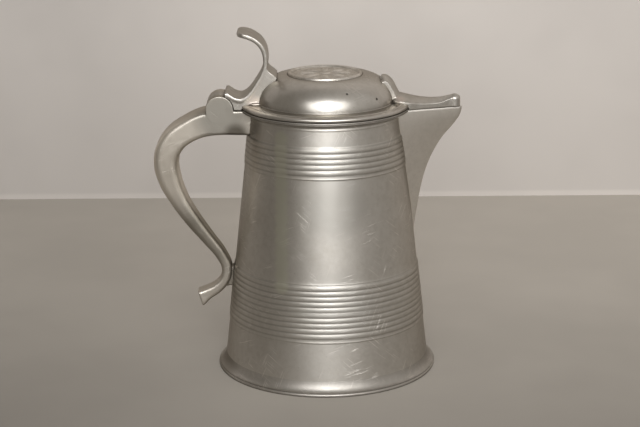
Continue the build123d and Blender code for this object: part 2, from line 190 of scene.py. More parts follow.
# Beak cover: stations of x, half width, edge height and ridge height
cover_stations = [
    (48.0, 11.2, 199.6, 205.4),
    (53.0, 14.4, 199.0, 203.0),
    (58.0, 14.7, 198.3, 201.6),
    (67.0, 11.8, 197.0, 199.7),
    (77.0, 8.6, 196.4, 199.1),
    (84.0, 6.4, 196.9, 199.6),
    (89.5, 4.4, 198.7, 200.9),
    (93.0, 3.58, 199.8, 201.6),
]
nose_centre = (93.0, 198.2)
nose_radius = 4.1
nose_top = 201.7
tongue_line = [(40.3, 216.0), (44.4, 215.6), (47.8, 213.0), (50.9, 207.8), (54.2, 201.0)]
tongue_half_width = 10.8
tongue_top_inset = 1.8
tongue_crown = 3.0

# Beads of solder on the flange, as (x, y, z) and (a, b, c): beside the web and the tongue
web_bead = (-48.6, 14.2, 197.5), (5.6, 1.7, 1.5)
tongue_bead = (52.6, 10.8, 197.4), (2.6, 2.6, 1.5)

# Fineness of the turned pieces and of the castings
round_steps = 288
handle_voxel = 0.5
thumb_voxel = 0.36
cover_voxel = 0.3


def wall_radius(z):
    """Outside radius of the plain cone at height z."""
    return wall_low_radius - wall_slope * (z - wall_low[2])


def quads(grid, wrap_columns=False, wrap_rows=False):
    """Four corners of each cell in a grid of vertex numbers, closed round if asked."""
    if wrap_columns:
        grid = np.concatenate([grid, grid[:, :1]], axis=1)
    if wrap_rows:
        grid = np.concatenate([grid, grid[:1]], axis=0)
    cells = [grid[:-1, :-1], grid[:-1, 1:], grid[1:, 1:], grid[1:, :-1]]
    return np.stack(cells, axis=-1).reshape(-1, 4)


def numbered(points, start=0):
    """Grid of vertex numbers for a grid of points."""
    rows, columns = points.shape[:2]
    return start + np.arange(rows * columns).reshape(rows, columns)


def make_mesh(name, points, faces):
    """Mesh object from points in millimetres and a list of face arrays or corner lists."""
    corners_list = []
    for group in faces:
        corners_list += group.tolist() if isinstance(group, np.ndarray) else [list(group)]
    mesh = bpy.data.meshes.new(name)
    mesh.from_pydata((np.asarray(points).reshape(-1, 3) * MM).tolist(), [], corners_list)
    mesh.validate()
    mesh.update()
    piece = bpy.data.objects.new(name, mesh)
    bpy.context.scene.collection.objects.link(piece)
    return piece


def finish_piece(piece, body, material, node, sharp=40.0):
    """Shade a piece, give it its finish and seat it on its body."""
    mesh = piece.data
    mesh.shade_smooth()
    mesh.set_sharp_from_angle(angle=math.radians(sharp))
    mesh.materials.clear()
    mesh.materials.append(material)
    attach(piece, body)
    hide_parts(node)
    return piece


def bend(start, control, end, t):
    """Points of the curve (1-t)^2 start + 2t(1-t) control + t^2 end."""
    return (1 - t) ** 2 * start + 2 * t * (1 - t) * control + t**2 * end


def curve_between(start, control, end, steps):
    """Curve between two points, drawn towards a third."""
    start, control, end = (np.asarray(p, float) for p in (start, control, end))
    return bend(start, control, end, np.linspace(0, 1, steps)[:, None])


def soften(points, radius, steps=5, closed=True):
    """Outline with its corners rounded. Each corner C becomes the bend from A by C to B,
    where A and B lie one radius from C along its sides."""
    p = np.asarray(points, float)
    r = np.broadcast_to(np.asarray(radius, float), (len(p),))[:, None]
    to_last = np.roll(p, 1, axis=0) - p
    to_next = np.roll(p, -1, axis=0) - p
    last_length = np.linalg.norm(to_last, axis=1, keepdims=True)
    next_length = np.linalg.norm(to_next, axis=1, keepdims=True)
    a = p + to_last * np.minimum(r / last_length, 0.48)
    b = p + to_next * np.minimum(r / next_length, 0.48)
    if not closed:
        a[0], b[0], a[-1], b[-1] = p[0], p[0], p[-1], p[-1]
    t = np.linspace(0, 1, steps)[None, :, None]
    curve = bend(a[:, None], p[:, None], b[:, None], t).reshape(-1, p.shape[1])
    gaps = np.linalg.norm(np.diff(curve, axis=0, prepend=curve[-1:]), axis=1)
    keep = gaps > 1e-6
    if not closed:
        keep[0] = True
    return curve[keep]


def through(stations, count):
    """Smooth curve through stations: a cubic on every span, whose slope at a station is that
    of its neighbours over the distance along the stations."""
    p = np.asarray(stations, float)
    along = np.r_[0, np.cumsum(np.linalg.norm(np.diff(p[:, :2], axis=0), axis=1))]
    slope = np.gradient(p, along, axis=0, edge_order=2)
    t = np.linspace(0, along[-1], count)
    k = np.clip(np.searchsorted(along, t, side="right") - 1, 0, len(along) - 2)
    span = (along[k + 1] - along[k])[:, None]
    s = (t - along[k])[:, None] / span
    return (
        (2 * s**3 - 3 * s**2 + 1) * p[k]
        + (s**3 - 2 * s**2 + s) * span * slope[k]
        + (3 * s**2 - 2 * s**3) * p[k + 1]
        + (s**3 - s**2) * span * slope[k + 1]
    )


def around(r, a, z):
    """Points (r cos a, r sin a, z)."""
    return np.stack([r * np.cos(a), r * np.sin(a), z + 0 * a], axis=-1)


def fan(pole, row):
    """Triangles from a pole to a row of vertex numbers that is closed round."""
    return np.stack([np.full(len(row), pole), row, np.roll(row, -1)], axis=-1)


def capped(name, points, first_z, last_z):
    """Mesh through rings of points, with a fan to a point of the axis at both ends."""
    grid = numbered(points)
    poles = [[0, 0, first_z], [0, 0, last_z]]
    faces = [quads(grid, True), fan(grid.size, grid[0])[:, ::-1], fan(grid.size + 1, grid[-1])]
    return make_mesh(name, np.vstack([points.reshape(-1, 3), poles]), faces)


def turned(name, outline):
    """Turned piece: each point (r, z) of an outline goes round the axis. An outline that
    starts and ends on the axis is closed there."""
    outline = np.asarray(outline, float)
    on_axis = outline[0, 0] < 1e-6 and outline[-1, 0] < 1e-6
    ring = outline[1:-1] if on_axis else outline
    angle = np.arange(round_steps) * 2 * np.pi / round_steps
    points = around(ring[:, :1], angle, ring[:, 1:])
    if on_axis:
        return capped(name, points, outline[0, 1], outline[-1, 1])
    return make_mesh(name, points, [quads(numbered(points), True, True)])


def section_ring(width, depth, corner, steps=6):
    """Rounded rectangle: a corner's centre at (width/2 - r, depth/2 - r) plus r (cos a, sin a),
    taken round all four corners, for a column of widths, depths and radii."""
    a = np.linspace(0, np.pi / 2, steps)
    angle = (np.arange(4)[:, None] * np.pi / 2 + a).ravel()
    across = np.repeat([1, -1, -1, 1], steps)
    along = np.repeat([1, 1, -1, -1], steps)
    width, depth, corner = (np.asarray(v, float)[:, None] for v in (width, depth, corner))
    return (
        across * (width / 2 - corner) + corner * np.cos(angle),
        along * (depth / 2 - corner) + corner * np.sin(angle),
    )


def closed_tube(name, points):
    """Mesh through rows of points, each row closed round, with a face over both ends."""
    grid = numbered(points)
    return make_mesh(name, points, [quads(grid, True), grid[0][::-1].tolist(), grid[-1].tolist()])


def path_normals(x, z, start=None, end=None):
    """Unit normals of a path in the XZ plane, one column each of x and z. The path's way at
    its start and end may be given."""
    dx, dz = np.gradient(x), np.gradient(z)
    if start is not None:
        dx[0], dz[0] = start
    if end is not None:
        dx[-1], dz[-1] = end
    length = np.hypot(dx, dz)
    return (-dz / length)[:, None], (dx / length)[:, None]


def strap(name, path, width, depth, corner, start=None, end=None):
    """Section carried along a path in the XZ plane: (x, z) plus the section's depth times the
    path's normal, with the section's width along Y. Flat faces close both ends."""
    x, z = path[:, 0], path[:, 1]
    nx, nz = path_normals(x, z, start, end)
    across, up = section_ring(width, depth, corner)
    points = np.stack([x[:, None] + nx * up, -across, z[:, None] + nz * up], axis=-1)
    return closed_tube(name, points)


def slab(name, outline, half_width):
    """Outline in the XZ plane carried straight along Y from one side to the other."""
    outline = np.asarray(outline, float)
    x, z = outline[:, 0], outline[:, 1]
    side = np.array([-half_width, half_width])[:, None]
    return closed_tube(name, np.stack([x + 0 * side, side + 0 * x, z + 0 * side], axis=-1))


def barrel(name, radius, low_y, high_y, centre=(hinge_x, hinge_z), steps=96):
    """Round bar along Y: (x, z) = centre + radius (cos a, sin a)."""
    a = -np.arange(steps) * 2 * np.pi / steps
    circle = np.stack([centre[0] + radius * np.cos(a), centre[1] + radius * np.sin(a)], axis=-1)
    piece = slab(name, circle[::-1], (high_y - low_y) / 2)
    piece.data.transform(Matrix.Translation((0, (low_y + high_y) / 2 * MM, 0)))
    return piece


def outward(piece):
    """Turn the faces of a closed mesh outwards."""
    shape = bmesh.new()
    shape.from_mesh(piece.data)
    bmesh.ops.recalc_face_normals(shape, faces=shape.faces)
    shape.to_mesh(piece.data)
    shape.free()
    return piece


def gather(piece, other):
    """Add another closed mesh, which is used up, beside a piece's own in one mesh."""
    outward(other)
    shape = bmesh.new()
    shape.from_mesh(piece.data)
    shape.from_mesh(other.data)
    shape.to_mesh(piece.data)
    shape.free()
    bpy.data.objects.remove(other)
    return piece


def settle(piece):
    """Put the result of a piece's modifiers into its mesh and take the modifiers away."""
    bpy.context.view_layer.update()
    graph = bpy.context.evaluated_depsgraph_get()
    mesh = bpy.data.meshes.new_from_object(piece.evaluated_get(graph))
    mesh.name = piece.name
    piece.modifiers.clear()
    piece.data = mesh
    return piece


def combine(piece, other, operation):
    """Join or cut a closed mesh with another, which is used up."""
    outward(other)
    step = piece.modifiers.new(operation, "BOOLEAN")
    step.operation = operation
    step.solver = "EXACT"
    step.object = other
    settle(piece)
    bpy.data.objects.remove(other)
    return piece


def cast(piece, voxel, smoothing):
    """Cast finish: the solid is remade on a fine grid and its edges are melted a little."""
    remake = piece.modifiers.new("remake", "REMESH")
    remake.mode = "VOXEL"
    remake.voxel_size = voxel * MM
    melt = piece.modifiers.new("melt", "SMOOTH")
    melt.factor = 0.5
    melt.iterations = smoothing
    return settle(piece)


def vertices(piece):
    """Vertices of a mesh as an array, in millimetres."""
    co = np.empty(len(piece.data.vertices) * 3)
    piece.data.vertices.foreach_get("co", co)
    return co.reshape(-1, 3) / MM


def move_vertices(piece, points):
    """Put an array of points, in millimetres, into a mesh, none of them outside the box of the
    whole construction."""
    points = np.clip(points, np.array(cad_box[0]) / MM, np.array(cad_box[1]) / MM)
    piece.data.vertices.foreach_set("co", (points * MM).ravel())
    piece.data.update()


class Nodes:
    """Adds nodes to a tree: inputs are given by name, as values or as other nodes' outputs."""

    def __init__(self, tree):
        self.tree = tree

    def add(self, kind, inputs=None, **settings):
        node = self.tree.nodes.new("ShaderNode" + kind)
        for key, value in settings.items():
            setattr(node, key, value)
        for key, value in (inputs or {}).items():
            if isinstance(value, bpy.types.NodeSocket):
                self.link(value, node.inputs[key])
            else:
                node.inputs[key].default_value = value
        return node

    def place(self):
        """Where on the piece, in metres."""
        return self.add("TexCoord").outputs["Object"]

    def link(self, output, socket):
        self.tree.links.new(output, socket)

    def math(self, operation, a, b=0.0, clamp=False):
        return self.add("Math", {0: a, 1: b}, operation=operation, use_clamp=clamp).outputs[0]

    def times(self, a, b):
        return self.math("MULTIPLY", a, b)

    def plus(self, a, b, clamp=False):
        return self.math("ADD", a, b, clamp)

    def along(self, vector, axis):
        """Share of a vector along one axis."""
        return self.add("SeparateXYZ", {0: vector}).outputs[axis]

    def noise(self, vector, scale, detail=3.0, roughness=0.5):
        values = {"Vector": vector, "Scale": scale, "Detail": detail, "Roughness": roughness}
        return self.add("TexNoise", values).outputs["Fac"]

    def span(self, value, low, high, to_low=0.0, to_high=1.0, kind="SMOOTHSTEP"):
        """Value carried from one span to another, and held at both ends."""
        values = {
            "Value": value, "From Min": low, "From Max": high, "To Min": to_low, "To Max": to_high,
        }
        return self.add("MapRange", values, interpolation_type=kind).outputs["Result"]

    def stretch(self, vector, scale, turn=(0.0, 0.0, 0.0)):
        values = {"Vector": vector, "Scale": scale, "Rotation": turn}
        return self.add("Mapping", values).outputs[0]

    def blend(self, factor, a, b):
        values = {"Factor": factor, 6: a, 7: b}
        return self.add("Mix", values, data_type="RGBA").outputs[2]


def new_group(name, inputs, outputs):
    """Empty node group with named inputs and outputs, and its way in and out."""
    tree = bpy.data.node_groups.new(name, "ShaderNodeTree")
    for label, kind, value in inputs:
        socket = tree.interface.new_socket(label, in_out="INPUT", socket_type="NodeSocket" + kind)
        socket.default_value = value
    for label, kind in outputs:
        tree.interface.new_socket(label, in_out="OUTPUT", socket_type="NodeSocket" + kind)
    way_in = tree.nodes.new("NodeGroupInput")
    way_out = tree.nodes.new("NodeGroupOutput")
    return tree, Nodes(tree), way_in.outputs, way_out.inputs


def build_patina():
    """Patina: clouds of lighter and darker metal, small spots, and a value for roughness."""
    inputs = [
        ("Light", "Color", (0.5, 0.47, 0.43, 1)),
        ("Dark", "Color", (0.3, 0.28, 0.25, 1)),
        ("Cloud Scale", "Float", 22.0),
        ("Spot Amount", "Float", 0.5),
        ("Smooth", "Float", 0.3),
        ("Rough", "Float", 0.45),
    ]
    outputs = [("Color", "Color"), ("Roughness", "Float")]
    tree, n, given, out = new_group("pewter patina", inputs, outputs)
    at = n.place()
    clouds = n.noise(at, given["Cloud Scale"], 5.0, 0.6)
    mottle = n.noise(at, 240.0, 4.0, 0.65)
    spots = n.noise(at, 620.0, 3.0, 0.6)
    cloud_mask = n.span(clouds, 0.3, 0.72)
    mottle_mask = n.span(mottle, 0.35, 0.75, 0.0, 0.45)
    spot_mask = n.times(n.span(spots, 0.66, 0.78), given["Spot Amount"])
    shade = n.plus(n.times(cloud_mask, 0.6), mottle_mask, clamp=True)
    tone = n.blend(shade, given["Light"], given["Dark"])
    dotted = n.blend(n.times(spot_mask, 0.6), tone, (0.13, 0.115, 0.095, 1))
    n.link(dotted, out["Color"])
    both = n.plus(n.times(clouds, 0.5), n.times(mottle, 0.5))
    rough = n.span(both, 0.35, 0.65, given["Smooth"], given["Rough"], "LINEAR")
    n.link(rough, out["Roughness"])
    return tree


def build_turning():
    """Turning marks: noise drawn out round the axis, fine and coarse lines one over another."""
    inputs = [("Depth", "Float", 1.0)]
    tree, n, given, out = new_group("turning marks", inputs, [("Height", "Float")])
    at = n.place()
    fine = n.noise(n.stretch(at, (3.0, 3.0, 2600.0)), 1.0, 2.0, 0.7)
    coarse = n.noise(n.stretch(at, (2.0, 2.0, 420.0)), 1.0, 2.0, 0.5)
    lines = n.plus(n.times(fine, 0.0022), n.times(coarse, 0.006))
    n.link(n.times(lines, given["Depth"]), out["Height"])
    return tree


def build_scratches():
    """Scratches: streaks of drawn-out noise lying three ways, broken up by a slower noise."""
    inputs = [("Amount", "Float", 1.0)]
    outputs = [("Mask", "Float"), ("Height", "Float")]
    tree, n, given, out = new_group("scratches", inputs, outputs)
    at = n.place()
    total = None
    for turn, place in ((0.35, 4.0), (1.2, 9.0), (-0.7, 15.0)):
        moved = n.add("VectorMath", {0: at, 1: (place, place, place)}).outputs[0]
        leaning = n.stretch(moved, (1.0, 1.0, 1.0), (0.2, turn, 0.4))
        streak = n.noise(n.stretch(leaning, (50.0, 50.0, 1500.0)), 1.0, 1.0, 0.5)
        line = n.span(streak, 0.64, 0.69)
        patch = n.span(n.noise(moved, 38.0, 2.0), 0.52, 0.66)
        drawn = n.times(line, patch)
        total = drawn if total is None else n.math("MAXIMUM", total, drawn)
    mask = n.times(total, given["Amount"])
    n.link(mask, out["Mask"])
    n.link(n.times(mask, -0.035), out["Height"])
    return tree


def build_casting():
    """Casting skin: slow hollows left by scraping and a fine grain of small pits."""
    inputs = [("Waves", "Float", 1.0), ("Grain", "Float", 1.0)]
    tree, n, given, out = new_group("casting skin", inputs, [("Height", "Float")])
    at = n.place()
    waves = n.times(n.noise(at, 70.0, 2.0, 0.5), given["Waves"])
    grain = n.times(n.noise(at, 900.0, 3.0, 0.7), given["Grain"])
    height = n.plus(n.times(waves, 0.10), n.times(grain, 0.006))
    n.link(height, out["Height"])
    return tree


def build_grooves():
    """Grooves: a mask that is full between the reeds of a band and nought on their crests,
    from the height counted in reeds, 1 - |sin(pi n)|."""
    inputs = [("Bottom", "Float", 0.04), ("Pitch", "Float", 0.004), ("Reeds", "Float", 5.0)]
    tree, n, given, out = new_group("reed grooves", inputs, [("Mask", "Float")])
    at = n.place()
    height = n.along(at, "Z")
    count = n.math("DIVIDE", n.math("SUBTRACT", height, given["Bottom"]), given["Pitch"])
    wave = n.math("ABSOLUTE", n.math("SINE", n.times(count, math.pi)))
    line = n.span(wave, 0.15, 0.75, 1.0, 0.0)
    above = n.math("GREATER_THAN", count, -0.25)
    below = n.math("LESS_THAN", n.math("SUBTRACT", count, given["Reeds"]), 0.25)
    n.link(n.times(n.times(line, above), below), out["Mask"])
    return tree


def build_grime_and_shade():
    """Grime and painted shade: a mask that is full in seams and corners, where the open sky is
    hidden.
    """
    inputs = [("Reach", "Float", 0.003)]
    tree, n, given, out = new_group("seam grime and painted shade", inputs, [("Mask", "Float")])
    open_sky = n.add("AmbientOcclusion", {"Distance": given["Reach"]}, samples=4).outputs["AO"]
    n.link(n.span(open_sky, 0.35, 0.85, 1.0, 0.0), out["Mask"])
    return tree


def build_spot():
    """Spot: one inside a radius round a place, falling softly to nought."""
    inputs = [("Place", "Vector", (0, 0, 0)), ("Radius", "Float", 0.001)]
    tree, n, given, out = new_group("spot", inputs, [("Mask", "Float")])
    at = n.place()
    reach = n.add("VectorMath", {0: at, 1: given["Place"]}, operation="DISTANCE").outputs["Value"]
    share = n.math("DIVIDE", reach, given["Radius"])
    n.link(n.span(share, 0.4, 1.0, 1.0, 0.0), out["Mask"])
    return tree


patina = build_patina()
turning = build_turning()
scratches = build_scratches()
casting = build_casting()
grooves = build_grooves()
grime_and_shade = build_grime_and_shade()
spot = build_spot()

PEWTER_LIGHT = (0.62, 0.60, 0.565, 1)
PEWTER_DARK = (0.50, 0.475, 0.435, 1)
# Colour of grime and painted shade in seams and corners
GRIME_AND_SHADE_COLOUR = (0.10, 0.082, 0.062, 1)
GROOVE_COLOUR = (0.25, 0.235, 0.21, 1)
SOLDER_COLOUR = (0.63, 0.57, 0.52, 1)
SCRATCH_COLOUR = (0.78, 0.75, 0.71, 1)


def use_group(n, tree, **values):
    """Place a shared group in a material with its own values."""
    node = n.add("Group", node_tree=tree)
    for key, value in values.items():
        node.inputs[key.replace("_", " ")].default_value = value
    return node.outputs


def pewter(name, light, dark, smooth, rough, turned_depth=0.0, waves=0.0, grain=0.0,
           scratch=0.0, spots=(), round_brush=0.0, clouds=22.0, grime_and_shade_reach=0.003, reeded=()):
    """Pewter finish from the shared effects. Spots are (place, radius, colour, depth)."""
    material = bpy.data.materials.new(name)
    material.use_nodes = True
    material.node_tree.nodes.clear()
    n = Nodes(material.node_tree)
    tone = use_group(
        n, patina, Light=light, Dark=dark, Cloud_Scale=clouds, Smooth=smooth, Rough=rough
    )
    marks = use_group(n, scratches, Amount=scratch)
    dirt_and_shade = use_group(n, grime_and_shade, Reach=grime_and_shade_reach)
    colour = n.blend(n.times(marks["Mask"], 0.7), tone["Color"], SCRATCH_COLOUR)
    height = marks["Height"]
    if turned_depth:
        height = n.plus(height, use_group(n, turning, Depth=turned_depth)["Height"])
    if waves or grain:
        height = n.plus(height, use_group(n, casting, Waves=waves, Grain=grain)["Height"])
    for bottom, reeds in reeded:
        land = (bottom + band_land) * MM
        mask = use_group(n, grooves, Bottom=land, Pitch=reed_pitch * MM, Reeds=float(reeds))["Mask"]
        colour = n.blend(n.times(mask, 0.42), colour, GROOVE_COLOUR)
    for place, radius, spot_colour, depth in spots:
        metres = tuple(v * MM for v in place)
        mask = use_group(n, spot, Place=metres, Radius=radius * MM)["Mask"]
        colour = n.blend(mask, colour, spot_colour)
        height = n.math("SUBTRACT", height, n.times(mask, depth))
    # Seams and corners darkened where the open sky is hidden: grime and painted shade
    colour = n.blend(n.times(dirt_and_shade["Mask"], 0.75), colour, GRIME_AND_SHADE_COLOUR)
    roughness = n.plus(tone["Roughness"], n.times(dirt_and_shade["Mask"], 0.25))
    bump = n.add("Bump", {"Height": height, "Distance": MM, "Strength": 1.0})
    inputs = {
        "Base Color": colour,
        "Metallic": 1.0,
        "Roughness": roughness,
        "Normal": bump.outputs[0],
        "Anisotropic": round_brush,
        "Specular Tint": (0.5, 0.47, 0.43, 1),
    }
    shader = n.add("BsdfPrincipled", inputs)
    if round_brush:
        shader.inputs["Anisotropic Rotation"].default_value = 0.25
        round_axis = n.add("Tangent", direction_type="RADIAL", axis="Z")
        n.link(round_axis.outputs[0], shader.inputs["Tangent"])
    n.add("OutputMaterial", {"Surface": shader.outputs[0]})
    return material


def matte(name, near, far, axis, start, end, painted_glow):
    """Matte paint that changes slowly from one tone to another along an axis, in metres: painted
    shade. What the camera and gloss see of it is paler by a share of its own tone that it glows
    with: painted light."""
    material = bpy.data.materials.new(name)
    material.use_nodes = True
    n = Nodes(material.node_tree)
    shader = material.node_tree.nodes["Principled BSDF"]
    at = n.place()
    place = n.along(at, axis)
    tone = n.blend(n.span(place, start, end), near, far)
    # Faint clouds, painted shade on the left side, and a painted highlight: a brighter line at the
    # foot of the wall
    clouds_and_painted_light = n.span(n.noise(at, 5.0, 3.0, 0.6), 0.35, 0.65, 0.93, 1.0)
    left = n.span(n.along(at, "X"), -0.24, -0.04, 0.82, 1.0)
    clouds_and_painted_light = n.times(clouds_and_painted_light, left)
    if axis == "Z":
        clouds_and_painted_light = n.times(clouds_and_painted_light, n.span(place, 0.003, 0.007, 1.13, 1.0))
    shade = n.add("VectorMath", {0: tone, 3: clouds_and_painted_light}, operation="SCALE").outputs[0]
    n.link(shade, shader.inputs["Base Color"])
    # Painted glow: the paint gives off its own tone to camera and gloss rays
    path = n.add("LightPath").outputs
    seen = n.math("MAXIMUM", path["Is Camera Ray"], path["Is Glossy Ray"])
    seen = n.math("MAXIMUM", seen, path["Is Transmission Ray"])
    n.link(shade, shader.inputs["Emission Color"])
    n.link(n.times(seen, painted_glow), shader.inputs["Emission Strength"])
    shader.inputs["Roughness"].default_value = 0.9
    shader.inputs["Specular IOR Level"].default_value = 0.15
    return material


wall_finish = pewter(
    "turned pewter wall", PEWTER_LIGHT, PEWTER_DARK, 0.36, 0.44,
    turned_depth=1.0, waves=1.5, grain=0.5, scratch=1.3, round_brush=0.35, clouds=16.0,
    reeded=(upper_band, lower_band),
    # A painted reflection, a faint greenish streak down the left; duller patches on the front; and
    # one dark mark
    spots=[
        *[((-31.5, -46.2 - 0.119 * (180.0 - z), z), 7.5, (0.62, 0.615, 0.53, 1), 0.0)
          for z in range(76, 184, 8)],
        ((8.0, -60.0, 134.0), 30.0, (0.47, 0.455, 0.425, 1), 0.0),
        ((8.0, -57.0, 164.0), 26.0, (0.50, 0.485, 0.455, 1), 0.0),
        ((8.0, -69.0, 60.0), 34.0, (0.51, 0.495, 0.465, 1), 0.0),
        ((-58.7, -6.5, 146.0), 3.5, (0.26, 0.24, 0.21, 1), 0.0),
    ],
)
# Foot and lip: a darker copy of the wall's pewter, painted shade that dims their highlights
foot_finish = pewter(
    "turned pewter foot", (0.52, 0.50, 0.47, 1), (0.42, 0.40, 0.37, 1), 0.42, 0.50,
    turned_depth=1.0, waves=0.6, grain=0.4, scratch=0.8, round_brush=0.35, clouds=16.0,
    # Painted shade: the left of the foot darker
    spots=[((-74.0, -16.0, 5.0), 30.0, (0.34, 0.32, 0.29, 1), 0.0)],
)
lid_finish = pewter(
    "turned pewter lid", PEWTER_LIGHT, PEWTER_DARK, 0.27, 0.35,
    turned_depth=0.5, waves=0.4, grain=0.3, scratch=0.6, round_brush=0.2, clouds=20.0,
    # Two pits
    spots=[
        ((15.1, -41.3, 210.4), 1.1, (0.04, 0.035, 0.03, 1), 0.3),
        ((36.2, -31.2, 204.6), 1.2, (0.04, 0.035, 0.03, 1), 0.3),
    ],
)
# Medallion: lighter than the dome, painted light on the top of the lid
relief_finish = pewter(
    "relief painted lighter", (0.86, 0.83, 0.78, 1), (0.56, 0.53, 0.48, 1), 0.28, 0.40,
    waves=0.5, grain=1.4, scratch=0.7, clouds=60.0, grime_and_shade_reach=0.002,
)
cast_finish = pewter(
    "cast pewter handle", (0.64, 0.60, 0.54, 1), (0.51, 0.475, 0.42, 1), 0.34, 0.46,
    waves=1.0, grain=1.5, scratch=0.9, clouds=26.0,
    spots=[
        # Painted highlight: the outer curve of the side lighter
        ((-112.0, -14.0, 158.0), 46.0, (0.86, 0.81, 0.73, 1), 0.0),
        ((-74.0, -14.0, 188.0), 24.0, (0.42, 0.40, 0.36, 1), 0.0),
        # Next to the wall: a dark patch of patina and painted shade
        ((-64.0, -14.0, 174.5), 12.0, (0.17, 0.155, 0.13, 1), 0.0),
        ((-88.0, -8.0, 96.0), 34.0, (0.37, 0.345, 0.30, 1), 0.0),
    ],
)
lid_cast_finish = pewter(
    "cast pewter lid parts", PEWTER_LIGHT, PEWTER_DARK, 0.30, 0.44,
    waves=1.0, grain=1.7, scratch=0.7, clouds=30.0,
    spots=[
        ((-50.5, -14.0, 199.0), 7.0, SOLDER_COLOUR, 0.0),
        ((53.5, -11.0, 199.5), 5.0, SOLDER_COLOUR, 0.0),
    ],
)
# Beak: a lighter copy of the pewter, painted light that brightens it
spout_finish = pewter(
    "sheet pewter beak", (0.86, 0.83, 0.78, 1), (0.70, 0.67, 0.62, 1), 0.34, 0.42,
    waves=1.0, grain=1.0, scratch=0.6, clouds=24.0,
)
inside_finish = pewter(
    "unpolished pewter inside", (0.42, 0.39, 0.35, 1), (0.27, 0.245, 0.21, 1), 0.42, 0.6,
    turned_depth=1.5, waves=0.6, grain=1.2, scratch=0.3, clouds=30.0,
)
pin_finish = pewter(
    "hinge pin end", PEWTER_LIGHT, PEWTER_DARK, 0.34, 0.46, waves=0.4, grain=1.0, scratch=0.4,
)


def band_relief(z, band):
    """Height of a band over the plain wall: a land with soft edges, and on it reeds that
    rise as the 0.7th power of |sin(pi n)|, where n counts reeds upwards."""
    bottom, reeds = band
    land_top = bottom + band_land
    top = land_top + reeds * reed_pitch
    ramp = np.minimum(z - bottom, top + band_edge - z) / band_edge
    n = (z - land_top) / reed_pitch
    inside = (n > 0) & (n < reeds)
    reed = reed_rise * np.abs(np.sin(np.pi * n)) ** 0.7 * inside
    return band_proud * np.clip(ramp, 0, 1) + reed


def wall_relief(z):
    """All that stands proud of the plain cone at height z."""
    relief = band_relief(z, upper_band) + band_relief(z, lower_band)
    for height in (*ridge_heights, neck_bead_height):
        relief = relief + ridge_rise * np.exp(-(((z - height) / ridge_width) ** 2))
    return relief


def beak_at(z):
    """Reach and half width of the beak at heights z, on the smooth curve of its stations."""
    curve = through(beak_stations, 400)[::-1]
    return np.interp(z, curve[:, 0], curve[:, 1]), np.interp(z, curve[:, 0], curve[:, 2])


def make_body_wall():
    """Wall: two cones, (r(z) cos a, r(z) sin a, z) outside with reeds and plain inside. Above
    the channel's floor the columns beside the opening follow its edges, y = +-h(z)."""
    bands = [
        np.arange(bottom - 1, bottom + band_land + reeds * reed_pitch + 2, reed_pitch / 8)
        for bottom, reeds in (upper_band, lower_band)
    ]
    plain = np.linspace(wall_low[2], mouth_height, 56)
    for band in bands:
        plain = plain[(plain < band[0] - 0.6) | (plain > band[-1] + 0.6)]
    bead = neck_bead_height + np.linspace(-1.2, 1.2, 9)
    z = np.unique(np.concatenate([plain, *bands, bead, [channel_bottom]]))
    first = int(np.searchsorted(z, channel_bottom))
    columns = 264
    open_columns = 12
    narrowing_from = 90.0
    base = np.arange(columns) * 2 * np.pi / columns
    base = np.where(base > np.pi, base - 2 * np.pi, base)
    edge = open_columns * 2 * np.pi / columns
    half_width = beak_at(z)[1] - beak_wall

    def sheet(radius):
        edge_angle = np.arcsin(np.clip(half_width / radius, 0.01, 0.9))
        low = edge_angle[first]
        share = np.clip((z - narrowing_from) / (channel_bottom - narrowing_from), 0, 1)
        phi = np.where(z < channel_bottom, edge + (low - edge) * share, edge_angle)[:, None]
        near = base[None, :] * phi / edge
        far = np.sign(base) * (phi + (np.abs(base) - edge) * (np.pi - phi) / (np.pi - edge))
        angle = np.where(np.abs(base)[None, :] <= edge + 1e-9, near, far)
        return around(radius[:, None], angle, z[:, None])

    outside = sheet(wall_radius(z) + wall_relief(z))
    inside = sheet(wall_radius(z) - wall_thickness)
    out, into = numbered(outside), numbered(inside, outside.shape[0] * columns)
    middle = np.abs(base) <= edge + 1e-9
    cell_open = middle & np.roll(middle, -1)
    solid = np.ones((len(z) - 1, columns), bool)
    solid[first:, cell_open] = False
    faces = [
        quads(out, True)[solid.ravel()],
        quads(into, True)[solid.ravel()][:, ::-1],
        quads(np.stack([into[0], out[0]]), True),
        quads(np.stack([out[-1], into[-1]]), True)[~cell_open],
    ]
    ends = np.flatnonzero(middle & ~(np.roll(middle, 1) & np.roll(middle, -1)))
    upper_edge = ends[base[ends] > 0][0]
    lower_edge = ends[base[ends] < 0][0]
    faces.append(quads(np.stack([out[first:, upper_edge], into[first:, upper_edge]], axis=1)))
    faces.append(quads(np.stack([into[first:, lower_edge], out[first:, lower_edge]], axis=1)))
    sill = np.flatnonzero(middle)
    sill = sill[np.argsort(base[sill])]
    faces.append(quads(np.stack([out[first, sill], into[first, sill]])))
    points = np.concatenate([outside.reshape(-1, 3), inside.reshape(-1, 3)])
    piece = outward(make_mesh("jug_wall", points, faces))
    finish_piece(piece, "jug", wall_finish, "body_wall")
    piece.data.materials.append(inside_finish)
    centre = np.empty(len(piece.data.polygons) * 3)
    piece.data.polygons.foreach_get("center", centre)
    centre = centre.reshape(-1, 3) / MM
    within = np.hypot(centre[:, 0], centre[:, 1]) < wall_radius(centre[:, 2]) - wall_thickness / 2
    piece.data.polygons.foreach_set("material_index", within.astype(np.int32))
    return piece


